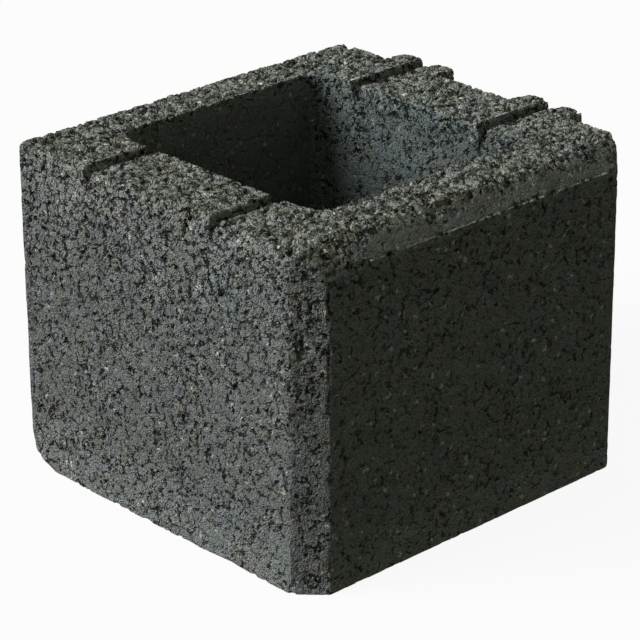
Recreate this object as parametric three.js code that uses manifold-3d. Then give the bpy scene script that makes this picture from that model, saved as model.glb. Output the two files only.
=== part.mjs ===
// Hollow pillar block in charcoal concrete, pressed in one piece in a block machine.
//
// A square tube of concrete stands upright with its cavity open at both ends. Its four
// upright corners are chamfered, and the two plain walls have a bevelled top edge. The two
// grooved walls keep a square top edge, and a pair of narrow grooves crosses each of them,
// where the bars that hold the mould's core pass over. On one of these walls concrete has
// filled the bars' slots in the mould, and stands out as short lugs beside the grooves.
//
// Millimetres, +Z up. X runs through the grooved walls, Y through the plain ones, and the
// origin is on the floor, in the middle of the whole footprint with its lugs.

import * as THREE from 'three';
import { mergeVertices } from 'three/addons/utils/BufferGeometryUtils.js';
import Module from 'manifold-3d';

// Outer sizes of the block, without the lugs
const blockLengthX = 250;
const blockWidthY = 250;
const blockHeight = 198;
const cornerChamfer = 15;
const plainWallBevel = 14;
const groovedEdgeRadius = 2.5;

// Walls and cavity, measured at the top
const groovedWall = 48;
const plainWall = 42;
const cavityCornerRadius = 14;
const coreDraft = 2;

// Grooves left by the core bars, which taper towards their lower edge
const barSpacing = 102;
const grooveWidth = 9.5;
const grooveBottomWidth = 7;
const grooveDepth = 13;
const grooveBottomRadius = 2.5;
const grooveMouthRadius = 1;

// Lugs beside the grooves, on one wall only
const lugPairWidth = 43;
const lugReach = 16;
const lugFaceHeight = 11;
const lugRootHeight = 24;
const lugTopRadius = 5;
const lugEndRadius = 5;
const lugGrooveRadius = 3;

// How far a cutter passes the surface that it cuts, and how deep a lug is set in its wall
const cutterOverrun = 5;
const lugEmbedment = 10;

// Facets of a quarter round, and the distance within which two vertices are one
const arcSegments = 4;
const mergeDistance = 1e-4;

const wasm = await Module();
wasm.setup();

// A closed three.js geometry as a solid, its shared vertices merged by position.
function toSolid(geometry) {
  const bare = geometry.clone();
  bare.deleteAttribute('normal');
  bare.deleteAttribute('uv');
  const merged = mergeVertices(bare, mergeDistance);
  const mesh = new wasm.Mesh({
    numProp: 3,
    vertProperties: new Float32Array(merged.attributes.position.array),
    triVerts: new Uint32Array(merged.index.array),
  });
  mesh.merge();
  return new wasm.Manifold(mesh);
}

// A solid as a three.js geometry with flat facets.
function toGeometry(solid) {
  const mesh = solid.getMesh();
  const geometry = new THREE.BufferGeometry();
  geometry.setAttribute('position', new THREE.BufferAttribute(mesh.vertProperties, 3));
  geometry.setIndex(new THREE.BufferAttribute(mesh.triVerts, 1));
  const faceted = geometry.toNonIndexed();
  faceted.computeVertexNormals();
  return faceted;
}

function extrude(outline, length) {
  return new THREE.ExtrudeGeometry(outline, {
    depth: length,
    bevelEnabled: false,
    curveSegments: arcSegments,
  });
}

// An outline drawn in X and Z, carried along Y and centred on it.
function extrudeAlongY(outline, length) {
  return extrude(outline, length).rotateX(Math.PI / 2).translate(0, length / 2, 0);
}

// An outline drawn in Y and Z, carried along X and centred on it.
function extrudeAlongX(outline, length) {
  return extrude(outline, length)
    .rotateX(Math.PI / 2)
    .rotateZ(Math.PI / 2)
    .translate(-length / 2, 0, 0);
}

// Rectangle centred on the origin with a 45 degree chamfer at each corner.
function chamferedRectangle(sizeX, sizeY, chamfer) {
  const x = sizeX / 2;
  const y = sizeY / 2;
  const shape = new THREE.Shape();
  shape.moveTo(x, y - chamfer);
  shape.lineTo(x - chamfer, y);
  shape.lineTo(-x + chamfer, y);
  shape.lineTo(-x, y - chamfer);
  shape.lineTo(-x, -y + chamfer);
  shape.lineTo(-x + chamfer, -y);
  shape.lineTo(x - chamfer, -y);
  shape.lineTo(x, -y + chamfer);
  shape.closePath();
  return shape;
}

// Rectangle centred on the origin with a round of the given radius at each corner.
function roundedRectangle(sizeX, sizeY, radius) {
  const x = sizeX / 2 - radius;
  const y = sizeY / 2 - radius;
  const shape = new THREE.Shape();
  shape.absarc(x, y, radius, 0, Math.PI / 2);
  shape.absarc(-x, y, radius, Math.PI / 2, Math.PI);
  shape.absarc(-x, -y, radius, Math.PI, Math.PI * 1.5);
  shape.absarc(x, -y, radius, Math.PI * 1.5, Math.PI * 2);
  shape.closePath();
  return shape;
}

// The block's end view, in Y and Z: upright sides and a 45 degree bevel along each top edge.
function bevelledEndView() {
  const y = blockWidthY / 2;
  const shape = new THREE.Shape();
  shape.moveTo(-y, 0);
  shape.lineTo(y, 0);
  shape.lineTo(y, blockHeight - plainWallBevel);
  shape.lineTo(y - plainWallBevel, blockHeight);
  shape.lineTo(-y + plainWallBevel, blockHeight);
  shape.lineTo(-y, blockHeight - plainWallBevel);
  shape.closePath();
  return shape;
}

// The block's side view, in X and Z: upright sides and a top edge that is only eased.
function easedSideView() {
  const x = blockLengthX / 2;
  const r = groovedEdgeRadius;
  const shape = new THREE.Shape();
  shape.moveTo(-x, 0);
  shape.lineTo(x, 0);
  shape.lineTo(x, blockHeight - r);
  shape.absarc(x - r, blockHeight - r, r, 0, Math.PI / 2);
  shape.lineTo(-x + r, blockHeight);
  shape.absarc(-x + r, blockHeight - r, r, Math.PI / 2, Math.PI);
  shape.closePath();
  return shape;
}

// The outside of the block: its plan, end view and side view carried through each other.
function outerBody() {
  const plan = chamferedRectangle(blockLengthX, blockWidthY, cornerChamfer);
  const upright = toSolid(extrude(plan, blockHeight));
  const bevelled = toSolid(extrudeAlongX(bevelledEndView(), blockLengthX + 2 * cutterOverrun));
  const eased = toSolid(extrudeAlongY(easedSideView(), blockWidthY + 2 * cutterOverrun));
  return upright.intersect(bevelled).intersect(eased);
}

// The core that forms the cavity. It narrows downwards by the draft on each side, so that it
// can be drawn up out of the fresh block, and it runs past both ends at the same slope.
function core() {
  const sizeX = blockLengthX - 2 * groovedWall;
  const sizeY = blockWidthY - 2 * plainWall;
  const geometry = extrude(
    roundedRectangle(sizeX, sizeY, cavityCornerRadius),
    blockHeight + 2 * cutterOverrun,
  ).translate(0, 0, -cutterOverrun);
  const position = geometry.attributes.position;
  for (let i = 0; i < position.count; i += 1) {
    const inset = (coreDraft * (blockHeight - position.getZ(i))) / blockHeight;
    position.setX(i, position.getX(i) * (1 - (2 * inset) / sizeX));
    position.setY(i, position.getY(i) * (1 - (2 * inset) / sizeY));
  }
  return toSolid(geometry);
}

// Section of a groove, in Y and Z, centred on its bar: round bottom corners, sides that open
// upwards, and a mouth that turns out in a quarter round on each side.
function grooveSection() {
  const mouthHalf = grooveWidth / 2;
  const bottomHalf = grooveBottomWidth / 2;
  const bottom = blockHeight - grooveDepth;
  const mouth = blockHeight - grooveMouthRadius;
  const shape = new THREE.Shape();
  shape.absarc(bottomHalf - grooveBottomRadius, bottom + grooveBottomRadius,
    grooveBottomRadius, -Math.PI / 2, 0);
  shape.absarc(mouthHalf + grooveMouthRadius, mouth, grooveMouthRadius,
    Math.PI, Math.PI / 2, true);
  shape.lineTo(mouthHalf + grooveMouthRadius, blockHeight + cutterOverrun);
  shape.lineTo(-mouthHalf - grooveMouthRadius, blockHeight + cutterOverrun);
  shape.absarc(-mouthHalf - grooveMouthRadius, mouth, grooveMouthRadius,
    Math.PI / 2, 0, true);
  shape.absarc(-bottomHalf + grooveBottomRadius, bottom + grooveBottomRadius,
    grooveBottomRadius, Math.PI, Math.PI * 1.5);
  shape.closePath();
  return shape;
}

// The path of one core bar, right across both grooved walls and the lugs.
function barCutter(barY) {
  const length = blockLengthX + 2 * (lugReach + cutterOverrun);
  return toSolid(extrudeAlongX(grooveSection(), length)).translate([0, barY, 0]);
}

// Plan of the lug on one side of a groove. It starts inside the wall, and its corner at the
// end of the pair is rounded more than the one next to the groove.
function lugPlan() {
  const grooveSide = grooveWidth / 2;
  const endSide = lugPairWidth / 2;
  const root = blockLengthX / 2 - lugEmbedment;
  const face = blockLengthX / 2 + lugReach;
  const shape = new THREE.Shape();
  shape.moveTo(root, endSide);
  shape.lineTo(root, grooveSide);
  shape.absarc(face - lugGrooveRadius, grooveSide + lugGrooveRadius, lugGrooveRadius,
    -Math.PI / 2, 0);
  shape.absarc(face - lugEndRadius, endSide - lugEndRadius, lugEndRadius, 0, Math.PI / 2);
  shape.closePath();
  return shape;
}

// Side view of a lug, in X and Z: its underside slopes back into the wall, and its top turns
// down to its face in a quarter round.
function lugSideView() {
  const wallFace = blockLengthX / 2;
  const lugFace = wallFace + lugReach;
  const shape = new THREE.Shape();
  shape.moveTo(wallFace - lugEmbedment, blockHeight - lugRootHeight);
  shape.lineTo(wallFace, blockHeight - lugRootHeight);
  shape.lineTo(lugFace, blockHeight - lugFaceHeight);
  shape.absarc(lugFace - lugTopRadius, blockHeight - lugTopRadius, lugTopRadius, 0, Math.PI / 2);
  shape.lineTo(wallFace - lugEmbedment, blockHeight);
  shape.closePath();
  return shape;
}

// The two lugs that stand beside one core bar.
function lugPair(barY) {
  const upright = toSolid(
    extrude(lugPlan(), lugRootHeight).translate(0, 0, blockHeight - lugRootHeight),
  );
  const sloped = toSolid(extrudeAlongY(lugSideView(), lugPairWidth + 2 * cutterOverrun));
  const lug = upright.intersect(sloped);
  const mirrored = lug.mirror([0, 1, 0]);
  return lug.add(mirrored).translate([0, barY, 0]);
}

let blockSolid = outerBody().subtract(core());
for (const barY of [-barSpacing / 2, barSpacing / 2]) {
  blockSolid = blockSolid.add(lugPair(barY)).subtract(barCutter(barY));
}

const charcoalConcrete = new THREE.MeshStandardMaterial({
  name: 'charcoal_concrete',
  color: 0x4b4d4b,
  roughness: 0.95,
  metalness: 0,
});

const pillarBlock = new THREE.Mesh(toGeometry(blockSolid), charcoalConcrete);
pillarBlock.name = 'pillar_block';
pillarBlock.position.x = -lugReach / 2;

const group = new THREE.Group();
group.add(pillarBlock);

export default group;
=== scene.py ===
"""Looks of a hollow pillar block in charcoal dry-cast concrete, one cast piece."""

from math import cos, radians, sin

import bmesh
import bpy
import numpy as np
from mathutils import Matrix, Vector


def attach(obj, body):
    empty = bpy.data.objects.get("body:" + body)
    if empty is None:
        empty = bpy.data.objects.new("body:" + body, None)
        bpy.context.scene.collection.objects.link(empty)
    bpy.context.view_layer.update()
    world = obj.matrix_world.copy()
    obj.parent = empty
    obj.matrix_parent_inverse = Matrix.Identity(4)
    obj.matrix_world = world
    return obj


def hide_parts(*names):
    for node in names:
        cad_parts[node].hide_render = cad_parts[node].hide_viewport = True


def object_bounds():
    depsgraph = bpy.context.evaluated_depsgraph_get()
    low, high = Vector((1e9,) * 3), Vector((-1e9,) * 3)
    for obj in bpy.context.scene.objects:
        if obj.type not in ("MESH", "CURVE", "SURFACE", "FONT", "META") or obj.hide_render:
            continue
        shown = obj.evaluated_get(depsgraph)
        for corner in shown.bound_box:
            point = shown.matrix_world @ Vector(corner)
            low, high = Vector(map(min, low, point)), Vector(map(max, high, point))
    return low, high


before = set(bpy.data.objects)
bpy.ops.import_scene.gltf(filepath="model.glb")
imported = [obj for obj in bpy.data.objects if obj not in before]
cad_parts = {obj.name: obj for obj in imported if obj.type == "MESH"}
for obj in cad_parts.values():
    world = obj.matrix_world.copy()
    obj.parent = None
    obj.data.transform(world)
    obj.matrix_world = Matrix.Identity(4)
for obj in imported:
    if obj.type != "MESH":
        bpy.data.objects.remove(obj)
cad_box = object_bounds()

# ---------------------------------------------------------------------------------------
# The block: a square tube of charcoal dry-cast concrete, pressed in one piece. Stiff mix
# leaves the mould as packed granules with open crevices between them and a pit wherever a
# granule was missing. The mould holds its sides flat, and its arrises crumble.
# ---------------------------------------------------------------------------------------

mm = 0.001

# Sizes in mm that the frame gives: half the block's side, its height, where its own axis
# lies, from which X and Y are measured, and how far its lugs reach
cad_low, cad_high = [[round(metres / mm, 3) for metres in corner] for corner in cad_box]
half_side = cad_high[1]
top_z = cad_high[2]
centre_x = cad_low[0] + half_side
lug_reach = cad_high[0] - centre_x - half_side
box_low = (-half_side, -half_side, 0.0)
box_high = (half_side + lug_reach, half_side, top_z)

# The solid's other sizes in mm
chamfer = 15.0
bevel = 14.0
cavity_x = 77.0
cavity_y = 83.0
lug_pair = 43.0
groove_y = 51.0
groove_width = 9.5
groove_depth = 13.0

# The grid that the surface is worked on and the granules that show in it, in mm. A granule's
# radius lies between the two shares of its size.
voxel = 0.85
granule = 4.8
grit = 2.9
small_radius = 0.42
large_radius = 0.84
triangle_limit = 196000

# Thin fins stand where the mould's liners meet: along the arris below each bevel, and along
# the far lip of each groove, just past the round of its mouth. They fade out towards -X.
lip_round = 1.2
fin_full_x = -74.0
fin_gone_x = -88.0


def hashed(cells, seed):
    """Four numbers from 0 to 1 for each whole-numbered cell: its three indices and the seed
    are multiplied by large primes, mixed by shifts and exclusive or, and cut into parts of
    16 bits."""
    mixed = (
        cells[:, 0] * np.uint64(0x9E3779B97F4A7C15)
        ^ cells[:, 1] * np.uint64(0xC2B2AE3D27D4EB4F)
        ^ cells[:, 2] * np.uint64(0x165667B19E3779F9)
        ^ np.uint64(seed * 0x27D4EB2F165667C5 % 2**64)
    )
    for shift, prime in ((30, 0xBF58476D1CE4E5B9), (27, 0x94D049BB133111EB), (31, 1)):
        mixed = (mixed ^ (mixed >> np.uint64(shift))) * np.uint64(prime)
    part = np.uint64(0xFFFF)
    parts = [(mixed >> np.uint64(shift)) & part for shift in (0, 16, 32, 48)]
    return np.stack(parts, axis=1) / 0xFFFF


def packed_grains(points, size, seed):
    """Round grains of mixed sizes, thrown into space at random: each cell of a cubic grid of
    the given size holds one, with a radius between the small and the large share of it.
    Returns, for the grain whose skin is nearest, how far outside it a point lies, negative
    inside, and its radius, then how much further off the next grain's skin is, all in cells,
    and last the nearest grain's own random number."""
    scaled = points / size
    corner = np.floor(scaled).astype(np.int64)
    nearest = np.full(len(points), 9.0)
    second = nearest.copy()
    reach = np.ones(len(points))
    grain = np.zeros(len(points))
    for offset in np.ndindex(3, 3, 3):
        cell = corner + np.array(offset) - 1
        draw = hashed(cell.astype(np.uint64), seed)
        radius = small_radius + (large_radius - small_radius) * draw[:, 3]
        skin = np.linalg.norm(cell + draw[:, :3] - scaled, axis=1) - radius
        closer = skin < nearest
        second = np.where(closer, nearest, np.minimum(second, skin))
        reach = np.where(closer, radius, reach)
        grain = np.where(closer, (draw[:, 0] * 7.0 + draw[:, 1] * 5.0) % 1.0, grain)
        nearest = np.minimum(nearest, skin)
    return nearest, reach, second - nearest, grain


def drift(points, size, seed):
    """Smooth noise from 0 to 1: a random number at each corner of a cubic grid of the given
    size, blended across the cell by the smoothstep of the position in it."""
    scaled = points / size
    corner = np.floor(scaled).astype(np.int64)
    part = scaled - corner
    part = part * part * (3.0 - 2.0 * part)
    total = np.zeros(len(points))
    for offset in np.ndindex(2, 2, 2):
        weight = np.prod(np.where(np.array(offset) == 1, part, 1.0 - part), axis=1)
        total += weight * hashed((corner + np.array(offset)).astype(np.uint64), seed)[:, 0]
    return total


def step(start, end, value):
    """0 up to the start, 1 from the end on, and between them three times the square of the
    part of the way less twice its cube. The end may lie below the start."""
    part = np.clip((value - start) / (end - start), 0.0, 1.0)
    return part * part * (3.0 - 2.0 * part)


def outer_planes():
    """Outward normals and offsets of the planes that bound the block without its lugs: four
    sides, top and bottom, two bevels and four chamfers."""
    root = np.sqrt(0.5)
    bevel_offset = (half_side + top_z - bevel) * root
    chamfer_offset = (2.0 * half_side - chamfer) * root
    planes = [((side, 0, 0), half_side) for side in (-1, 1)]
    planes += [((0, side, 0), half_side) for side in (-1, 1)]
    planes += [((0, 0, 1), top_z), ((0, 0, -1), 0.0)]
    planes += [((0, side * root, root), bevel_offset) for side in (-1, 1)]
    planes += [((x * root, y * root, 0), chamfer_offset) for x in (-1, 1) for y in (-1, 1)]
    normals, offsets = zip(*planes)
    return np.array(normals), np.array(offsets)


def sharp_arrises(points):
    """Moves each point less than a voxel inside two outer planes onto the line where the two
    meet. The move is a part of each plane's normal, and the two parts follow from how far
    inside the point lies and from the angle between the planes."""
    normals, offsets = outer_planes()
    inside = offsets[None, :] - points @ normals.T
    order = np.argsort(inside, axis=1)
    first, second = order[:, 0], order[:, 1]
    rows = np.arange(len(points))
    lack, other = inside[rows, first], inside[rows, second]
    cosine = np.sum(normals[first] * normals[second], axis=1)
    near = (other < 0.8 * voxel) & (np.abs(cosine) < 0.9) & (points[:, 0] < half_side + 0.3)
    square = np.where(near, 1.0 - cosine**2, 1.0)
    part = np.where(near, (lack - cosine * other) / square, 0.0)
    other_part = np.where(near, (other - cosine * lack) / square, 0.0)
    return points + part[:, None] * normals[first] + other_part[:, None] * normals[second]


def rounded(points, normals, offsets, radius):
    """Rounds the arrises of the solid inside the planes by moving the points inwards. Within
    the radius of each plane a point counts as much as it lacks of the radius; the length of
    those counts together, less the radius, is how far the point has to go."""
    inside = offsets[None, :] - points @ normals.T
    lack = np.clip(radius[:, None] - inside, 0.0, None)
    length = np.linalg.norm(lack, axis=1)
    inwards = (lack @ normals) / np.maximum(length, 1e-6)[:, None]
    return points - inwards * np.clip(length - radius, 0.0, None)[:, None]


# Worn places on the arrises: where, how far the wear reaches, and how much it adds to the
# arris's radius, in mm
worn_places = [
    ((-125, 118, 198), 13.0, 2.2),
    ((125, -118, 186), 20.0, 3.0),
    ((-125, 112, 0), 24.0, 7.0),
    ((118, 120, 198), 14.0, 1.5),
    ((-122, -60, 0), 26.0, 1.5),
    ((-125, -38, 198), 13.0, 7.0),
    ((-125, -60, 198), 10.0, 3.0),
    ((-125, 60, 198), 12.0, 3.0),
    ((-125, 0, 198), 30.0, 1.5),
    ((-100, -125, 184), 24.0, 2.6),
    ((-82, 111, 198), 5.0, 2.5),
    ((-44, 111, 198), 5.0, 2.0),
    ((74, 111, 198), 6.0, 2.5),
]


def crumbled_arrises(points):
    """Rounds the block's arrises. Most of an arris is sharp. The radius grows in long worn
    stretches and short chips, at the worn places, along the top of the grooved wall at -X
    and along the upper edge of the bevels, at -Y more than at +Y. At the foot of the plain
    walls, where the block is pushed off its board, the arris stays straighter."""
    sharp, worn, chipped, foot_share = 0.05, 1.2, 2.2, 0.25
    top_worn, top_worn_drift, top_worn_end = 1.0, 3.0, 104.0
    bevel_worn, bevel_worn_more = 1.0, 2.0
    radius = sharp + worn * step(0.45, 0.85, drift(points, size=9.0, seed=5))
    radius += chipped * step(0.68, 0.92, drift(points, size=5.0, seed=6))
    beneath = top_z - points[:, 2]
    within = half_side - np.abs(points[:, 1])
    at_foot = (within < 4.0) & (points[:, 2] < 6.0)
    radius *= np.where(at_foot, foot_share, 1.0)
    top_edge = step(9.0, 2.0, beneath) * step(9.0, 2.0, half_side + points[:, 0])
    uneven = top_worn + top_worn_drift * drift(points, size=12.0, seed=7)
    radius += top_edge * uneven * (points[:, 1] < top_worn_end)
    bevel_edge = step(7.0, 1.0, beneath) * (within > 8.0)
    by_side = bevel_worn + bevel_worn_more * (points[:, 1] < 0.0)
    radius += bevel_edge * by_side * drift(points, size=7.0, seed=8)
    for place, reach, extra in worn_places:
        away = np.linalg.norm(points - np.array(place), axis=1)
        radius += extra * step(reach, reach * 0.3, away)
    moved = rounded(points, *outer_planes(), radius)
    return np.where(points[:, :1] < half_side + 0.3, moved, points)


def rounded_lugs(points):
    """Rounds the four lugs on their face, top, end and groove side, the more the nearer to
    the face. Y is first folded so that the grooves' middles are at zero and all four lugs
    lie on each other, and unfolded at the end."""
    root_radius, face_radius, face_radius_drift, face_from = 0.5, 3.0, 3.0, 10.0
    off_middle = np.abs(points[:, 1]) - groove_y
    folded = points.copy()
    folded[:, 1] = np.abs(off_middle)
    normals = np.array([(1, 0, 0), (0, 0, 1), (0, 1, 0), (0, -1, 0)])
    offsets = np.array([half_side + lug_reach, top_z, lug_pair / 2, -groove_width / 2])
    towards_face = step(half_side, half_side + face_from, points[:, 0])
    uneven = face_radius + face_radius_drift * drift(points, size=9.0, seed=9)
    radius = root_radius + uneven * towards_face
    folded = rounded(folded, normals, offsets, radius)
    folded[:, 1] = (groove_y + folded[:, 1] * np.sign(off_middle)) * np.sign(points[:, 1])
    return np.where(points[:, :1] > half_side, folded, points)


def slumped_groove_ends(points):
    """Pinches the grooves to a wedge where they come out through the wall at -X and where
    the grooves of the wall at +X open into the cavity. The space within one distance of a
    groove's middle is squeezed towards it by a share that is highest near the groove's
    bottom, and from there out to a second distance it stretches to make up for it."""
    squeezed_to, stretched_to = 5.2, 11.0
    far_start, near_start, slump_length = -104.0, -112.0, 11.0
    far_most, near_most = 0.9, 0.6
    off_middle = np.abs(points[:, 1]) - groove_y
    away = np.abs(off_middle)
    beneath = top_z - points[:, 2]
    far_groove = points[:, 1] > 0.0
    past_start = np.where(far_groove, far_start, near_start) - points[:, 0]
    outer_end = step(0.0, slump_length, past_start)
    inner_end = step(cavity_x + 15.0, cavity_x + 3.0, points[:, 0]) * (points[:, 0] > 60.0)
    low = step(0.0, 12.0, beneath) * step(24.0, 14.0, beneath)
    wobble = 0.75 + 0.5 * drift(points, size=6.0, seed=14)
    most = np.where(far_groove, far_most, near_most)
    share = np.clip((outer_end + inner_end) * low * wobble, 0.0, most)
    slack = np.clip((stretched_to - away) / (stretched_to - squeezed_to), 0.0, 1.0)
    squeezed = np.where(away < squeezed_to, away, squeezed_to * slack) * share
    moved = points.copy()
    moved[:, 1] -= squeezed * np.sign(off_middle) * np.sign(points[:, 1])
    return moved


def packing(points, normals, top, cavity, on_arris):
    """How loosely the granules are packed, from 0 to 1. The plain walls are dense, the
    grooved walls looser, both the more the nearer to the top, with a drift from place to
    place. The cavity's walls are denser, and the unpressed top is loosest. The bevels are
    dense, but for a ragged upper edge, their two ends and the stretch near -X."""
    plain, plain_rise, plain_drift = 0.20, 0.08, 0.12
    grooved, grooved_rise, grooved_drift = 0.34, 0.28, 0.32
    near_top, on_top, in_grooves = 0.25, 0.35, 0.45
    bevel_drift, ragged_edge, bevel_ends = 0.2, 0.65, 0.4
    arris_denser, cavity_denser = 0.1, 0.24
    beneath = top_z - points[:, 2]
    facing_y = np.abs(normals[:, 1]) > 0.85
    plain_wall = facing_y & (cavity | (np.abs(points[:, 1]) > half_side - 4.0))
    rise = step(100.0, 0.0, beneath)
    loose = np.where(plain_wall, plain + plain_rise * rise, grooved + grooved_rise * rise)
    from_mean = drift(points, size=14.0, seed=31) - 0.5
    loose += np.where(plain_wall, plain_drift, grooved_drift) * from_mean
    loose += near_top * step(12.0, 2.0, beneath)
    loose -= arris_denser * on_arris
    loose -= np.where(cavity, cavity_denser, 0.0)
    edge = beneath - 9.0 * drift(points, size=8.0, seed=41)
    on_bevel = bevel_drift * drift(points, size=5.0, seed=42) + ragged_edge * step(3.5, 1.0, edge)
    on_bevel += bevel_ends * step(98.0, 112.0, np.abs(points[:, 0]))
    on_bevel += bevel_ends * step(fin_full_x, fin_gone_x, points[:, 0])
    bevelled = (normals[:, 2] > 0.5) & (normals[:, 2] < 0.88) & (beneath < bevel)
    loose = np.where(bevelled, on_bevel, loose)
    loose += on_top * top
    off_middle = np.abs(np.abs(points[:, 1]) - groove_y)
    in_groove = (off_middle < 5.6) & (beneath < groove_depth + 1.0) & (beneath > 0.8)
    return np.clip(np.where(in_groove, in_grooves, loose), 0.0, 1.0)


def relief(points, normals):
    """How far, in mm, the surface lies inside the mould's face, and how loosely it is packed.
    Granules that reach the face are pressed flat against it, each on a terrace a little
    deeper or less deep than the next. Where none reaches it there is a steep pit: as deep as
    the way to the nearest granule's skin times a slope, up to a limit. Where two touch there
    is a shallow crevice. The looser the packing, the more and the deeper pits. On the top,
    which no mould has pressed, each granule also keeps its round back. The face then takes
    off a little of all this, arrises get less of it, and the fins none."""
    pit_slope, pit_depth, loose_pit, top_pit = 4.0, 1.0, 1.3, 0.9
    fine_slope, fine_depth = 3.5, 0.8
    crevice_width, crevice_depth, loose_crevice = 0.12, 0.15, 0.45
    terrace_depth, loose_terrace, top_terrace, fine_terrace = 0.1, 0.3, 0.1, 0.08
    back_depth = 1.3
    skimmed, top_skimmed = 0.15, 0.4
    warp_size, warp_reach, fine_share = 3.5, 3.0, 0.6
    beneath = top_z - points[:, 2]
    top = step(0.8, 0.95, normals[:, 2])
    in_x = np.abs(points[:, 0]) < cavity_x + 2.0
    in_y = np.abs(points[:, 1]) < cavity_y + 2.0
    cavity = in_x & in_y & (beneath > 1.0)
    plane_normals, offsets = outer_planes()
    inside = np.sort(np.abs(offsets[None, :] - points @ plane_normals.T), axis=1)
    on_arris = step(4.0, 1.2, inside[:, 1]) * (beneath > 0.6 * bevel)
    loose = packing(points, normals, top, cavity, on_arris)

    warp = [drift(points, size=warp_size, seed=seed) - 0.5 for seed in (11, 12, 13)]
    warp = np.stack(warp, axis=1) * warp_reach
    skin, reach, seam, grain = packed_grains(points + warp, granule, seed=21)
    fine_skin, _, _, fine_grain = packed_grains(points + fine_share * warp, grit, seed=22)
    edge = 0.17 - 0.15 * loose
    deepest = pit_depth + loose_pit * loose - top_pit * top
    pit = np.clip((skin - edge) * granule * pit_slope, 0.0, deepest)
    fine_pit = np.clip((fine_skin - edge) * grit * fine_slope, 0.0, fine_depth)
    crevice = (crevice_depth + loose_crevice * loose) * step(crevice_width, 0.0, seam)
    terrace = (terrace_depth + loose_terrace * loose - top_terrace * top) * grain
    terrace += fine_terrace * loose * fine_grain
    back = top * back_depth * np.clip(1.0 + skin / reach, 0.0, 1.0) ** 2
    depth = np.maximum(pit, fine_pit) * (1.0 - 0.5 * on_arris) + crevice + terrace + back
    depth = np.clip(depth - skimmed - top_skimmed * top, 0.0, None) * (1.0 - 0.4 * on_arris)

    off_fin = np.hypot(np.abs(points[:, 1]) - half_side, beneath - bevel)
    off_fin += 2.0 * step(fin_full_x, fin_gone_x, points[:, 0])
    far_lip = points[:, 1] - np.sign(points[:, 1]) * groove_y - groove_width / 2 - lip_round
    off_lip = np.hypot(far_lip, beneath)
    return depth * step(0.4, 1.6, np.minimum(off_fin, off_lip)), loose


def block_points(body):
    """The object's points in mm, with X and Y measured from the block's own axis."""
    flat = np.empty(len(body.data.vertices) * 3, np.float32)
    body.data.vertices.foreach_get("co", flat)
    return flat.reshape(-1, 3).astype(float) / mm - np.array([centre_x, 0.0, 0.0])


def block_normals(body):
    """The object's normals at its points."""
    flat = np.empty(len(body.data.vertices) * 3, np.float32)
    body.data.vertex_normals.foreach_get("vector", flat)
    return flat.reshape(-1, 3).astype(float)


def put_points(body, points):
    """Puts points in mm from the block's own axis into the object."""
    moved = (points + np.array([centre_x, 0.0, 0.0])) * mm
    body.data.vertices.foreach_set("co", moved.astype(np.float32).ravel())
    body.data.update()


def put_values(body, name, values):
    """Gives the object's points a value each, under a name that a material can read."""
    attribute = body.data.attributes.new(name, "FLOAT", "POINT")
    attribute.data.foreach_set("value", values.astype(np.float32))


def applied(body):
    """Puts what the object's modifiers give into its mesh and removes them."""
    depsgraph = bpy.context.evaluated_depsgraph_get()
    finished = bpy.data.meshes.new_from_object(body.evaluated_get(depsgraph))
    body.modifiers.clear()
    body.data = finished


def cast_surface(node):
    """The block's surface at fine steps. The CAD solid is merged and remeshed to an even
    grid, its arrises crumble, and each point then moves inwards along its normal by the
    relief. The result is thinned to the triangle limit where it is flattest, and kept inside
    the solid's box."""
    work = bmesh.new()
    work.from_mesh(node.data)
    bmesh.ops.remove_doubles(work, verts=work.verts, dist=1e-6)
    mesh = bpy.data.meshes.new("cast")
    work.to_mesh(mesh)
    work.free()
    body = bpy.data.objects.new("cast", mesh)
    bpy.context.scene.collection.objects.link(body)
    remesh = body.modifiers.new("even", "REMESH")
    remesh.mode = "VOXEL"
    remesh.voxel_size = voxel * mm
    applied(body)
    points = crumbled_arrises(sharp_arrises(block_points(body)))
    points = slumped_groove_ends(rounded_lugs(points))
    put_points(body, points)
    normals = block_normals(body)
    depth, loose = relief(points, normals)
    put_points(body, points - normals * depth[:, None])
    put_values(body, "pit", depth)
    put_values(body, "loose", loose)
    body.data.calc_loop_triangles()
    thin = body.modifiers.new("thin", "DECIMATE")
    thin.ratio = triangle_limit / len(body.data.loop_triangles)
    applied(body)
    put_points(body, np.clip(block_points(body), box_low, box_high))
    return body


def linear(code):
    """A linear colour with alpha from an sRGB hex string. A dark part is divided by 12.92.
    To any other 0.055 is added, and the sum, divided by 1.055, is raised to the power 2.4."""
    parts = [int(code[place : place + 2], 16) / 255 for place in (1, 3, 5)]
    light = [part / 12.92 if part <= 0.04045 else ((part + 0.055) / 1.055) ** 2.4 for part in parts]
    return (*light, 1)


def add(tree, kind, settings=None, inputs=()):
    """Adds a node, sets its properties, and gives each input, by name or by place, its value
    or the output that feeds it. A node given as a value stands for its first output."""
    node = tree.nodes.new(kind)
    for name, value in (settings or {}).items():
        setattr(node, name, value)
    if not isinstance(inputs, dict):
        inputs = dict(enumerate(inputs))
    for name, value in inputs.items():
        if isinstance(value, bpy.types.Node):
            value = value.outputs[0]
        if isinstance(value, bpy.types.NodeSocket):
            tree.links.new(value, node.inputs[name])
        else:
            node.inputs[name].default_value = value
    return node


# Settings that many nodes share. A smooth Map Range takes its value, where its change starts
# and ends, and what it gives at the start and at the end.
plus = {"operation": "ADD"}
minus = {"operation": "SUBTRACT"}
times = {"operation": "MULTIPLY"}
times_plus = {"operation": "MULTIPLY_ADD"}
larger = {"operation": "MAXIMUM"}
smaller = {"operation": "MINIMUM"}
positive = {"operation": "ABSOLUTE"}
smooth = {"interpolation_type": "SMOOTHSTEP"}
washing = {"data_type": "RGBA", "blend_type": "MULTIPLY"}


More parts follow.
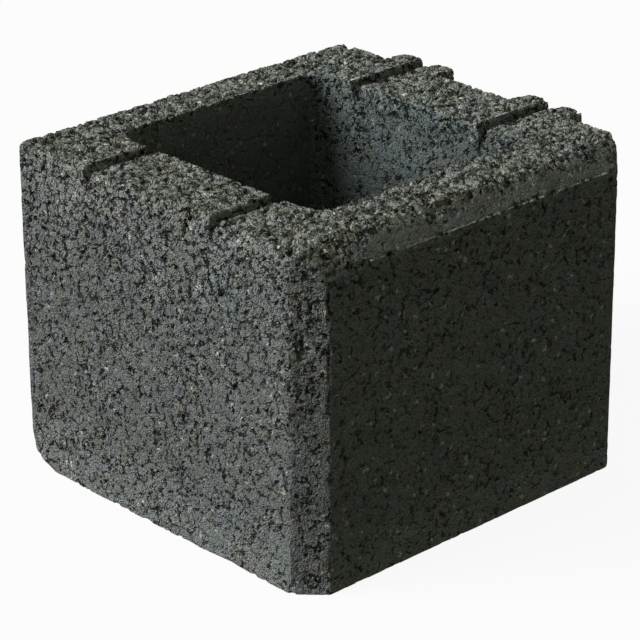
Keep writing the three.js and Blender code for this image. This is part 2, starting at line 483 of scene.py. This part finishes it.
def grains(tree, place, size, opened):
    """Grains packed in space, one to each cube of the given size in mm. Around each runs a
    crevice as wide as the opened value says, in parts of the size; at or below zero the
    grain is joined to the next. Returns by name: the bottom, 0 in the crevice and 1 on the
    grain; the wall, the same with a slower rise; the rim, 1 on the grain's very edge; the
    slope, how high its face stands as it leans its own way; the back, the square of the way
    from its middle; and its own colour of three random numbers. The bottom, the wall and
    the rim are as wide in mm whatever the size."""
    bottom_end, wall_end, rim_start, rim_end = [width / size for width in (0.3, 0.9, 0.4, 1.4)]
    spread = {"Vector": place, "Scale": 1 / size}
    cells = add(tree, "ShaderNodeTexVoronoi", {"feature": "F1"}, spread)
    sides = add(tree, "ShaderNodeTexVoronoi", {"feature": "DISTANCE_TO_EDGE"}, spread)
    off = add(tree, "ShaderNodeVectorMath", minus, (place, cells.outputs["Position"]))
    lean = add(tree, "ShaderNodeVectorMath", minus, (cells.outputs["Color"], (0.5, 0.5, 0.5)))
    slope = add(tree, "ShaderNodeVectorMath", {"operation": "DOT_PRODUCT"}, (off, lean))
    off_crevice = add(tree, "ShaderNodeMath", minus, (sides.outputs["Distance"], opened))
    bottom = add(tree, "ShaderNodeMapRange", smooth, (off_crevice, 0.0, bottom_end, 0.0, 1.0))
    wall = add(tree, "ShaderNodeMapRange", smooth, (off_crevice, 0.0, wall_end, 0.0, 1.0))
    rim = add(tree, "ShaderNodeMapRange", smooth, (off_crevice, rim_start, rim_end, 1.0, 0.0))
    parted = add(tree, "ShaderNodeMapRange", smooth, (opened, -0.05, 0.05, 0.0, 1.0))
    rim = add(tree, "ShaderNodeMath", times, (rim, bottom))
    rim = add(tree, "ShaderNodeMath", times, (rim, parted))
    back = add(tree, "ShaderNodeMath", {"operation": "POWER"}, (cells.outputs["Distance"], 2.0))
    colour = add(tree, "ShaderNodeSeparateColor", None, (cells.outputs["Color"],))
    return {"bottom": bottom, "wall": wall, "rim": rim, "slope": slope.outputs["Value"],
            "back": back, "colour": colour.outputs}


def creases(tree, place, size, opened):
    """Crevices that wander between lumps: they lie where a noise with features of the given
    size in mm crosses its own middle, and are open where the opened value is above zero.
    Returns 0 in the crevice and 1 away from it, and the same with a slower rise."""
    swell = add(tree, "ShaderNodeTexNoise", None,
                {"Vector": place, "Scale": 1 / size, "Detail": 1.0, "Distortion": 0.5})
    off_middle = add(tree, "ShaderNodeMath", minus, (swell, 0.5))
    off_middle = add(tree, "ShaderNodeMath", positive, (off_middle,))
    shut = add(tree, "ShaderNodeMapRange", smooth, (opened, 0.0, 0.08, 1.0, 0.0))
    bottom = add(tree, "ShaderNodeMapRange", smooth, (off_middle, 0.01, 0.035, 0.0, 1.0))
    wall = add(tree, "ShaderNodeMapRange", smooth, (off_middle, 0.0, 0.11, 0.0, 1.0))
    return [add(tree, "ShaderNodeMath", larger, (part, shut)) for part in (bottom, wall)]


def off_line(tree, across, line_y, up, line_z):
    """How far a point lies from a line along X: the root of the sum of the squares of how far
    it lies across and above it."""
    beside = add(tree, "ShaderNodeMath", minus, (across, line_y))
    above = add(tree, "ShaderNodeMath", minus, (up, line_z))
    square = add(tree, "ShaderNodeMath", times, (beside, beside))
    square = add(tree, "ShaderNodeMath", times_plus, (above, above, square))
    return add(tree, "ShaderNodeMath", {"operation": "SQRT"}, (square,))


def charcoal_dry_cast():
    """Charcoal dry-cast concrete, as it leaves the press."""
    # Pigmented cement coats every granule, so the colour runs through the block. Granules
    # differ a little in tone, and grains of sand show as fine specks. Crevices, holes and deep
    # pits get painted shade, with a painted highlight on the grain edges beside them.

    # Real sizes in mm: lumps of granules that hold together, long crevices that wander
    # between them, fine granules, air holes, and sand, which is drawn a little coarser than
    # it is, so that it shows. Then patches with open and with shut crevices, wider zones of
    # the same, breaks in the fins, and blots of colour.
    lump_size, crease_size, granule_size, hole_size, sand_size = 9.0, 7.0, 2.2, 2.4, 0.75
    patch_size, fine_patch_size, zone_size, break_size, blot_size = 3.5, 2.5, 11.0, 9.0, 12.0
    wander_size, wander_reach = 2.8, 3.6
    mid_cavity_x, cavity_wall_x = 30.0, 66.0

    material = bpy.data.materials.new("charcoal_dry_cast_concrete")
    material.use_nodes = True
    tree = material.node_tree
    tree.nodes.clear()

    # Where a point lies in mm, straight and shifted to and fro so that no grain is regular
    place = add(tree, "ShaderNodeTexCoord").outputs["Object"]
    straight = add(tree, "ShaderNodeVectorMath", {"operation": "SCALE"},
                   {0: place, "Scale": 1 / mm})
    wander = add(tree, "ShaderNodeTexNoise", None,
                 {"Vector": straight, "Scale": 1 / wander_size, "Detail": 2.0})
    shifted = add(tree, "ShaderNodeVectorMath", times_plus,
                  (wander.outputs["Color"], (wander_reach,) * 3, straight))
    axes = add(tree, "ShaderNodeSeparateXYZ", None, (straight,)).outputs
    side_y = add(tree, "ShaderNodeMath", positive, (axes["Y"],))
    along = add(tree, "ShaderNodeMath", minus, (axes["X"], centre_x))
    off_axis = add(tree, "ShaderNodeMath", positive, (along,))

    # What the mesh says: how loosely the concrete is packed, and how deep its pits are
    loose = add(tree, "ShaderNodeAttribute", {"attribute_name": "loose"}).outputs["Fac"]
    sunk = add(tree, "ShaderNodeAttribute", {"attribute_name": "pit"}).outputs["Fac"]

    # How wide the crevices are open. It changes from place to place, more so where the
    # packing is loose, but the unpressed top has few.
    patches = add(tree, "ShaderNodeTexNoise", None,
                  {"Vector": straight, "Scale": 1 / patch_size, "Detail": 2.0, "Roughness": 0.6})
    fine_patches = add(tree, "ShaderNodeTexNoise", None,
                       {"Vector": shifted, "Scale": 1 / fine_patch_size, "Detail": 2.0,
                        "Roughness": 0.6})
    zones = add(tree, "ShaderNodeTexNoise", None,
                {"Vector": straight, "Scale": 1 / zone_size, "Detail": 1.0})
    loose_zones = add(tree, "ShaderNodeMath", times, (zones, loose))
    at_top = add(tree, "ShaderNodeMapRange", smooth, (loose, 0.5, 1.0, 0.02, -0.035))
    fine_at_top = add(tree, "ShaderNodeMapRange", smooth, (loose, 0.5, 1.0, 0.04, -0.04))
    opened = add(tree, "ShaderNodeMath", times_plus, (patches, 0.8, -0.475))
    opened = add(tree, "ShaderNodeMath", times_plus, (loose_zones, 0.2, opened))
    opened = add(tree, "ShaderNodeMath", plus, (at_top, opened))
    fine_opened = add(tree, "ShaderNodeMath", times_plus, (fine_patches, 1.3, -0.88))
    fine_opened = add(tree, "ShaderNodeMath", times_plus, (zones, 0.15, fine_opened))
    fine_opened = add(tree, "ShaderNodeMath", plus, (fine_at_top, fine_opened))
    crease_opened = add(tree, "ShaderNodeMath", plus, (opened, -0.055))
    crease_opened = add(tree, "ShaderNodeMath", times_plus, (loose, 0.27, crease_opened))
    lumps = grains(tree, shifted, lump_size, opened)
    granules = grains(tree, shifted, granule_size, fine_opened)
    crease_bottom, crease_wall = creases(tree, shifted, crease_size, crease_opened)
    sand = add(tree, "ShaderNodeTexNoise", None,
               {"Vector": straight, "Scale": 1 / sand_size, "Detail": 1.0, "Roughness": 0.5})

    # The fins: ragged ridges on the arris below the bevels and on the grooves' far lips, painted
    # paler as a painted highlight.
    # They end well before the chamfers, at a place that wavers with the same noise.
    middle = add(tree, "ShaderNodeMath", {"operation": "SIGN"}, (axes["Y"],))
    middle = add(tree, "ShaderNodeMath", times, (middle, groove_y))
    off_middle = add(tree, "ShaderNodeMath", minus, (axes["Y"], middle))
    off_bevel = off_line(tree, side_y, half_side, axes["Z"], top_z - bevel)
    off_lip = off_line(tree, off_middle, groove_width / 2 + lip_round, axes["Z"], top_z)
    off_fin = add(tree, "ShaderNodeMath", smaller, (off_bevel, off_lip))
    broken = add(tree, "ShaderNodeTexNoise", None,
                 {"Vector": straight, "Scale": 1 / break_size, "Detail": 2.0})
    wavering = add(tree, "ShaderNodeMath", times, (broken, 30.0))
    ends = add(tree, "ShaderNodeMath", minus, (off_axis, wavering))
    start = add(tree, "ShaderNodeMath", times_plus, (broken, 24.0, along))
    fin = 1.0
    for value, change_start, change_end, at_start, at_end in (
        (off_fin, 1.1, 0.4, 0.0, 1.0),
        (broken, 0.42, 0.5, 0.0, 1.0),
        (ends, 82.0, 94.0, 1.0, 0.0),
        (start, -68.0, -62.0, 0.0, 1.0),
    ):
        share = add(tree, "ShaderNodeMapRange", smooth,
                    (value, change_start, change_end, at_start, at_end))
        fin = add(tree, "ShaderNodeMath", times, (fin, share))

    # The relief finer than the mesh: each part by how much it counts, in mm
    granule_height = add(tree, "ShaderNodeMapRange", smooth, (loose, 0.6, 1.0, 1.0, 0.8))
    crease_height = add(tree, "ShaderNodeMapRange", smooth, (loose, 0.7, 1.0, 1.6, 2.2))
    lump_back = add(tree, "ShaderNodeMath", times_plus, (loose, -2.4, -0.6))
    height = 0.0
    for part, share in (
        (lumps["wall"], 3.4),
        (granules["wall"], granule_height),
        (crease_wall, crease_height),
        (lumps["slope"], 0.15),
        (granules["slope"], 0.3),
        (sand, 2.0),
        (lumps["back"], lump_back),
        (granules["back"], -0.2),
        (fin, 1.2),
    ):
        height = add(tree, "ShaderNodeMath", times_plus, (part, share, height))

    # Colour: grey cement, a little paler or darker from lump to lump and granule to granule,
    # and tinted by lumps and in soft blots
    tone = add(tree, "ShaderNodeMath", times, (granules["colour"]["Red"], 0.5))
    tone = add(tree, "ShaderNodeMath", times_plus, (lumps["colour"]["Red"], 0.5, tone))
    cement = add(tree, "ShaderNodeValToRGB", None, {"Fac": tone})
    dark_end, pale_end = cement.color_ramp.elements
    dark_end.position = 0.1
    dark_end.color = linear("#7e807e")
    pale_end.position = 0.9
    pale_end.color = linear("#8c908f")
    tint = add(tree, "ShaderNodeValToRGB", None, {"Fac": lumps["colour"]["Blue"]})
    tint.color_ramp.interpolation = "CONSTANT"
    tint.color_ramp.elements[0].color = linear("#fcf8f5")
    tint.color_ramp.elements[1].position = 0.02
    tint.color_ramp.elements[1].color = linear("#f8fbff")
    further_tints = ((0.4, "#fbfdfb"), (0.75, "#fdfcf9"), (0.965, "#fbf9f0"), (0.985, "#f4f9f2"))
    for position, code in further_tints:
        tint.color_ramp.elements.new(position).color = linear(code)
    tinted = add(tree, "ShaderNodeVectorMath", times, (cement, tint))
    blots = add(tree, "ShaderNodeTexNoise", None,
                {"Vector": shifted, "Scale": 1 / blot_size, "Detail": 2.0})
    blots = add(tree, "ShaderNodeSeparateColor", None, (blots.outputs["Color"],)).outputs

    # Inside the cavity the wall at +X is painted cooler and darker, as painted light and shade. The
    # loose top is a little warmer.
    past_x = add(tree, "ShaderNodeMath", minus, (off_axis, cavity_x + 0.5))
    past_y = add(tree, "ShaderNodeMath", minus, (side_y, cavity_y + 0.5))
    past = add(tree, "ShaderNodeMath", larger, (past_x, past_y))
    in_cavity = add(tree, "ShaderNodeMapRange", smooth, (past, -0.5, 0.5, 1.0, 0.0))
    towards_x = add(tree, "ShaderNodeMapRange", smooth,
                    (axes["X"], mid_cavity_x, cavity_wall_x, 0.0, 1.0))
    painted_cavity_tint = add(tree, "ShaderNodeMath", times, (in_cavity, towards_x))
    warm = add(tree, "ShaderNodeMapRange", smooth, (loose, 0.5, 1.0, 0.0, 1.0))
    washes = [
        (add(tree, "ShaderNodeMapRange", smooth, (blots[part], 0.5, 0.66, 0.0, 1.0)), code)
        for part, code in (("Red", "#fafcff"), ("Green", "#fffcf9"), ("Blue", "#fafffb"))
    ]
    for share, code in washes + [(painted_cavity_tint, "#d0dbdc"), (warm, "#fffef8")]:
        mixed = add(tree, "ShaderNodeMix", washing, {"Factor": share, 6: tinted, 7: linear(code)})
        tinted = mixed.outputs[2]

    # Brightness, much of it painted light and shade: every crevice, hole and deep pit gets
    # painted shade, bolder where the packing is loose, and the grain edges beside them a
    # painted highlight. Inside the cavity the wall at +X gets painted light, and the rest
    # painted shade.
    bold = add(tree, "ShaderNodeMapRange", smooth, (loose, 0.0, 0.4, 0.0, 1.0))
    lump_painted_shade = add(tree, "ShaderNodeMath", times_plus, (bold, -0.45, 0.65))
    granule_painted_shade = add(tree, "ShaderNodeMath", times_plus, (bold, -0.2, 0.8))
    crease_painted_shade = add(tree, "ShaderNodeMath", times_plus, (bold, -0.72, 0.97))
    # Painted highlight: grain edges beside the crevices are paler
    painted_rim_highlight = add(tree, "ShaderNodeMath", times_plus, (granules["rim"], 0.25, 0.95))
    painted_rim_highlight = add(tree, "ShaderNodeMath", times_plus, (lumps["rim"], 0.3, painted_rim_highlight))
    # Air holes: darker discs of painted shade
    holes = add(tree, "ShaderNodeTexVoronoi", {"feature": "F1"},
                {"Vector": straight, "Scale": 1 / hole_size})
    draw = add(tree, "ShaderNodeSeparateColor", None, (holes.outputs["Color"],)).outputs["Red"]
    reach = add(tree, "ShaderNodeMapRange", smooth, (draw, 0.6, 1.0, 0.0, 0.3))
    within = add(tree, "ShaderNodeMath", minus, (reach, holes.outputs["Distance"]))
    hole = add(tree, "ShaderNodeMapRange", smooth, (within, 0.0, 0.08, 0.0, 1.0))
    hole_painted_shade = add(tree, "ShaderNodeMath", times_plus, (hole, -0.6, 1.0))
    packed = add(tree, "ShaderNodeMath", times_plus, (loose, 1.72, 0.615))
    # Painted highlight on the fins
    painted_fin_highlight = add(tree, "ShaderNodeMath", times_plus, (fin, 1.5, 1.0))
    # Painted light on the cavity's wall at +X, painted shade on the rest of the cavity
    across = add(tree, "ShaderNodeMapRange", smooth,
                 (axes["X"], mid_cavity_x, cavity_wall_x, -0.2, 0.11))
    painted_cavity_light = add(tree, "ShaderNodeMath", times, (in_cavity, across))
    painted_cavity_light = add(tree, "ShaderNodeMath", plus, (painted_cavity_light, 1.0))
    ramps = [
        add(tree, "ShaderNodeMapRange", smooth, ramp)
        for ramp in (
            # Painted shade in the crevices of lumps, granules and creases
            (lumps["bottom"], 0.0, 1.0, lump_painted_shade, 1.0),
            (granules["bottom"], 0.0, 1.0, granule_painted_shade, 1.0),
            (crease_bottom, 0.0, 1.0, crease_painted_shade, 1.0),
            # Painted shade in the deepest pits of the mesh
            (sunk, 1.6, 3.2, 1.0, 0.75),
            # Sand: paler on its crests and darker in its hollows, its own tone and painted shade in
            # one
            (sand, 0.3, 0.7, 0.8, 1.22),
            (loose, 0.7, 1.0, 1.0, 0.8),
            # Painted light from the floor: paler near the floor
            (axes["Z"], 4.0, 50.0, 1.27, 1.0),
            # A few granules far paler than the rest, as painted glints
            (granules["colour"]["Green"], 0.975, 0.985, 1.0, 2.2),
        )
    ]
    shade = 1.0
    for factor in ramps + [painted_rim_highlight, hole_painted_shade, packed, painted_fin_highlight, painted_cavity_light]:
        shade = add(tree, "ShaderNodeMath", times, (shade, factor))

    colour = add(tree, "ShaderNodeVectorMath", {"operation": "SCALE"}, {0: tinted, "Scale": shade})
    strength = add(tree, "ShaderNodeMath", times_plus, (bold, 0.6, 0.4))
    bump = add(tree, "ShaderNodeBump", None,
               {"Strength": strength, "Distance": 1.0 * mm, "Height": height})
    shader = add(tree, "ShaderNodeBsdfPrincipled", None,
                 {"Base Color": colour, "Roughness": 0.9, "Specular IOR Level": 0.02, "Normal": bump})
    add(tree, "ShaderNodeOutputMaterial", None, {"Surface": shader})
    return material


block = cast_surface(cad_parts["pillar_block"])
block.name = "charcoal_block"
block.data.materials.clear()
block.data.materials.append(charcoal_dry_cast())
block.data.shade_smooth()
block.data.set_sharp_from_angle(angle=radians(32))
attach(block, "root")
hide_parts("pillar_block")

# ---------------------------------------------------------------------------------------
# The floor: a wide pale sheet that the block stands on. It shows nearly white and keeps
# the block's shadow.
# ---------------------------------------------------------------------------------------

floor_half = 6.0
floor_mesh = bpy.data.meshes.new("floor")
floor_mesh.from_pydata(
    [(-floor_half, -floor_half, 0), (floor_half, -floor_half, 0),
     (floor_half, floor_half, 0), (-floor_half, floor_half, 0)], [], [(0, 1, 2, 3)])
floor = bpy.data.objects.new("floor", floor_mesh)
bpy.context.scene.collection.objects.link(floor)


def seen_rays(tree):
    """1 for rays that come from the camera, off a gloss or through glass, 0 for the rest."""
    joined = {"operation": "ADD", "use_clamp": True}
    rays = add(tree, "ShaderNodeLightPath").outputs
    seen = add(tree, "ShaderNodeMath", joined, (rays["Is Camera Ray"], rays["Is Glossy Ray"]))
    return add(tree, "ShaderNodeMath", joined, (seen, rays["Is Transmission Ray"]))


def pale_sheet():
    """A matt pale sheet. Seen directly it is mostly plain white, over a part that takes light
    and shadow as a matt surface does. To all other rays it is dark."""
    material = bpy.data.materials.new("matt_pale_sheet")
    material.use_nodes = True
    tree = material.node_tree
    tree.nodes.clear()
    white_share = 0.92
    matt = add(tree, "ShaderNodeBsdfDiffuse", None, {"Color": linear("#f4f4f4")})
    white = add(tree, "ShaderNodeEmission", None, {"Color": linear("#ffffff"), "Strength": 1.0})
    shown = add(tree, "ShaderNodeMixShader", None, (white_share, matt, white))
    beyond = add(tree, "ShaderNodeBsdfDiffuse", None, {"Color": linear("#303030")})
    mix = add(tree, "ShaderNodeMixShader", None, (seen_rays(tree), beyond, shown))
    add(tree, "ShaderNodeOutputMaterial", None, {"Surface": mix})
    return material


floor.data.materials.append(pale_sheet())

# ---------------------------------------------------------------------------------------
# The light: one large soft lamp at the far left, and a weak even fill from all round,
# which is plain white where it is seen directly.
# ---------------------------------------------------------------------------------------

lamp = bpy.data.lights.new("soft_key", "SUN")
lamp.energy = 3.05
lamp.angle = radians(40)
towards_lamp = Vector((-0.755, 0.43, 0.497))
key = bpy.data.objects.new("soft_key", lamp)
key.rotation_mode = "QUATERNION"
key.rotation_quaternion = towards_lamp.to_track_quat("Z", "Y")
bpy.context.scene.collection.objects.link(key)

fill_strength = 0.22
fill_colour = "#fbffe2"
world = bpy.data.worlds.new("even_fill")
world.use_nodes = True
sky = world.node_tree
sky.nodes.clear()
seen = seen_rays(sky)
strength = add(sky, "ShaderNodeMapRange", None,
               {"Value": seen, "To Min": fill_strength, "To Max": 1.0})
shown = add(sky, "ShaderNodeMix", {"data_type": "RGBA"},
            {"Factor": seen, 6: linear(fill_colour), 7: linear("#ffffff")})
fill = add(sky, "ShaderNodeBackground", None, {"Color": shown.outputs[2], "Strength": strength})
add(sky, "ShaderNodeOutputWorld", None, {"Surface": fill})
bpy.context.scene.world = world

# ---------------------------------------------------------------------------------------
# The camera: a long lens that looks down on the near corner.
# ---------------------------------------------------------------------------------------

view_azimuth = radians(46.91)
view_elevation = radians(23.77)
view_roll = radians(-0.347)
eye = np.array([-1077.55, -1143.76, 776.38]) * mm

ahead = np.array([cos(view_elevation) * cos(view_azimuth),
                  cos(view_elevation) * sin(view_azimuth), -sin(view_elevation)])
level_right = np.cross(ahead, [0, 0, 1])
level_right /= np.linalg.norm(level_right)
level_up = np.cross(level_right, ahead)
right = cos(view_roll) * level_right + sin(view_roll) * level_up
up = -sin(view_roll) * level_right + cos(view_roll) * level_up

lens = bpy.data.cameras.new("camera")
lens.lens = 168.44
lens.sensor_width = 36
camera = bpy.data.objects.new("camera", lens)
placed = np.eye(4)
placed[:3] = np.stack([right, up, -ahead, eye], axis=1)
camera.matrix_world = Matrix(placed.tolist())
bpy.context.scene.collection.objects.link(camera)
bpy.context.scene.camera = camera
bpy.context.scene.view_settings.view_transform = "Standard"
